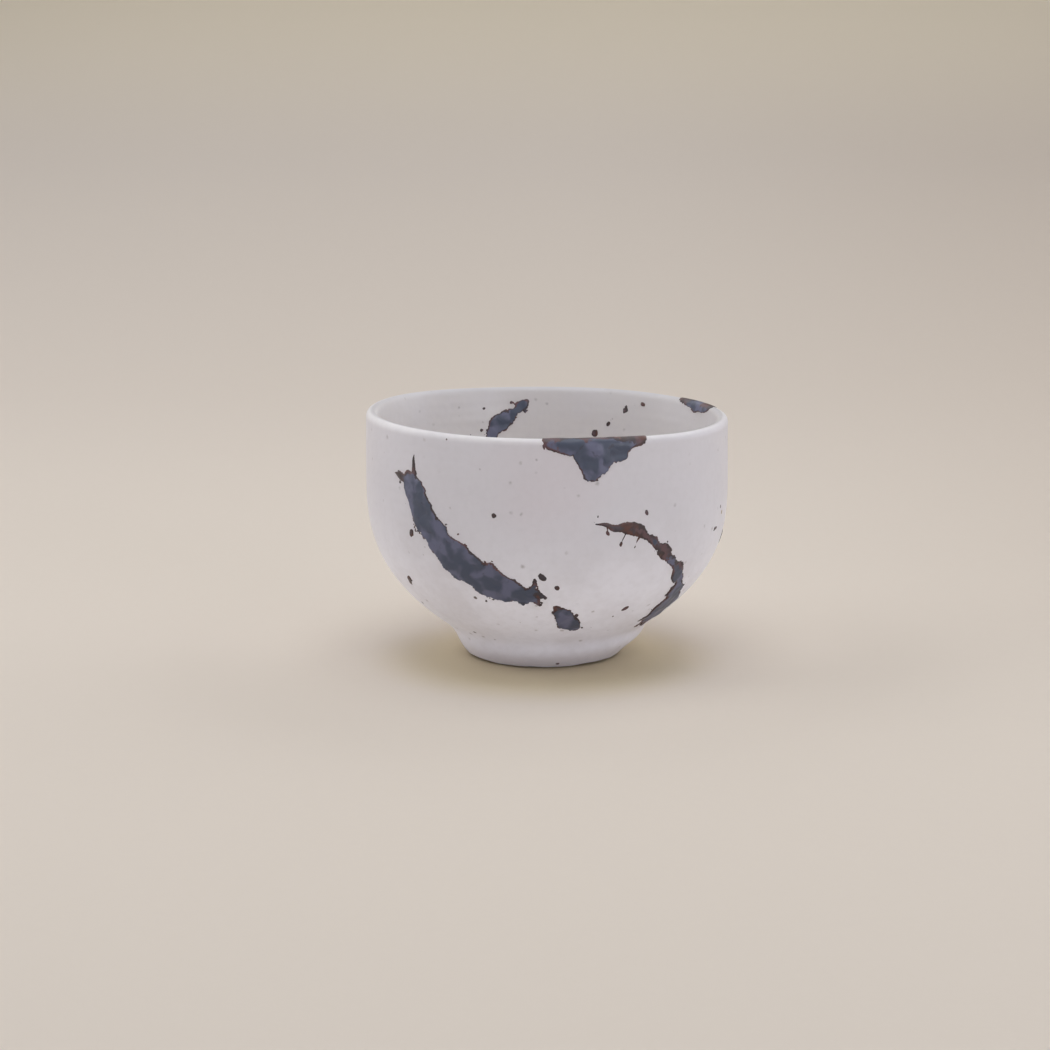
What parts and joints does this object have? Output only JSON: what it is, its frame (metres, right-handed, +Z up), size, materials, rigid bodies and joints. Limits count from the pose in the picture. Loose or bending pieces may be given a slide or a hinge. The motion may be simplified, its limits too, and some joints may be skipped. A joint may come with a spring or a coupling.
{
  "type": "sake cup",
  "caption": "Small footed ceramic sake cup with a rounded bowl, white speckled glaze and flung dark glaze splashes.",
  "frame": {"origin": "centre of the flat foot ring, on the surface that the cup stands on", "axes": "+Z up along the cup's axis; -Y is the side that faces the viewer, with the broad splash on its left"},
  "size_m": [0.068, 0.0683, 0.0463],
  "materials": {
    "bare_clay": "matte",
    "white_glaze": "gloss",
    "dark_glaze": "gloss",
    "brown_glaze": "gloss"
  },
  "bodies": {
    "root": {"clay_body": "bare_clay", "outer_glaze": "white_glaze", "inner_glaze": "white_glaze", "foot_glaze": "white_glaze", "heavy_splash": "dark_glaze", "comet_splash": "dark_glaze", "leaf_splash": "dark_glaze", "rim_splash": "dark_glaze", "inner_splash": "dark_glaze", "back_splash": "dark_glaze", "back_comet": "dark_glaze", "back_rim_splash": "dark_glaze", "outer_drops": "brown_glaze", "inner_drops": "brown_glaze"}
  },
  "joints": []
}
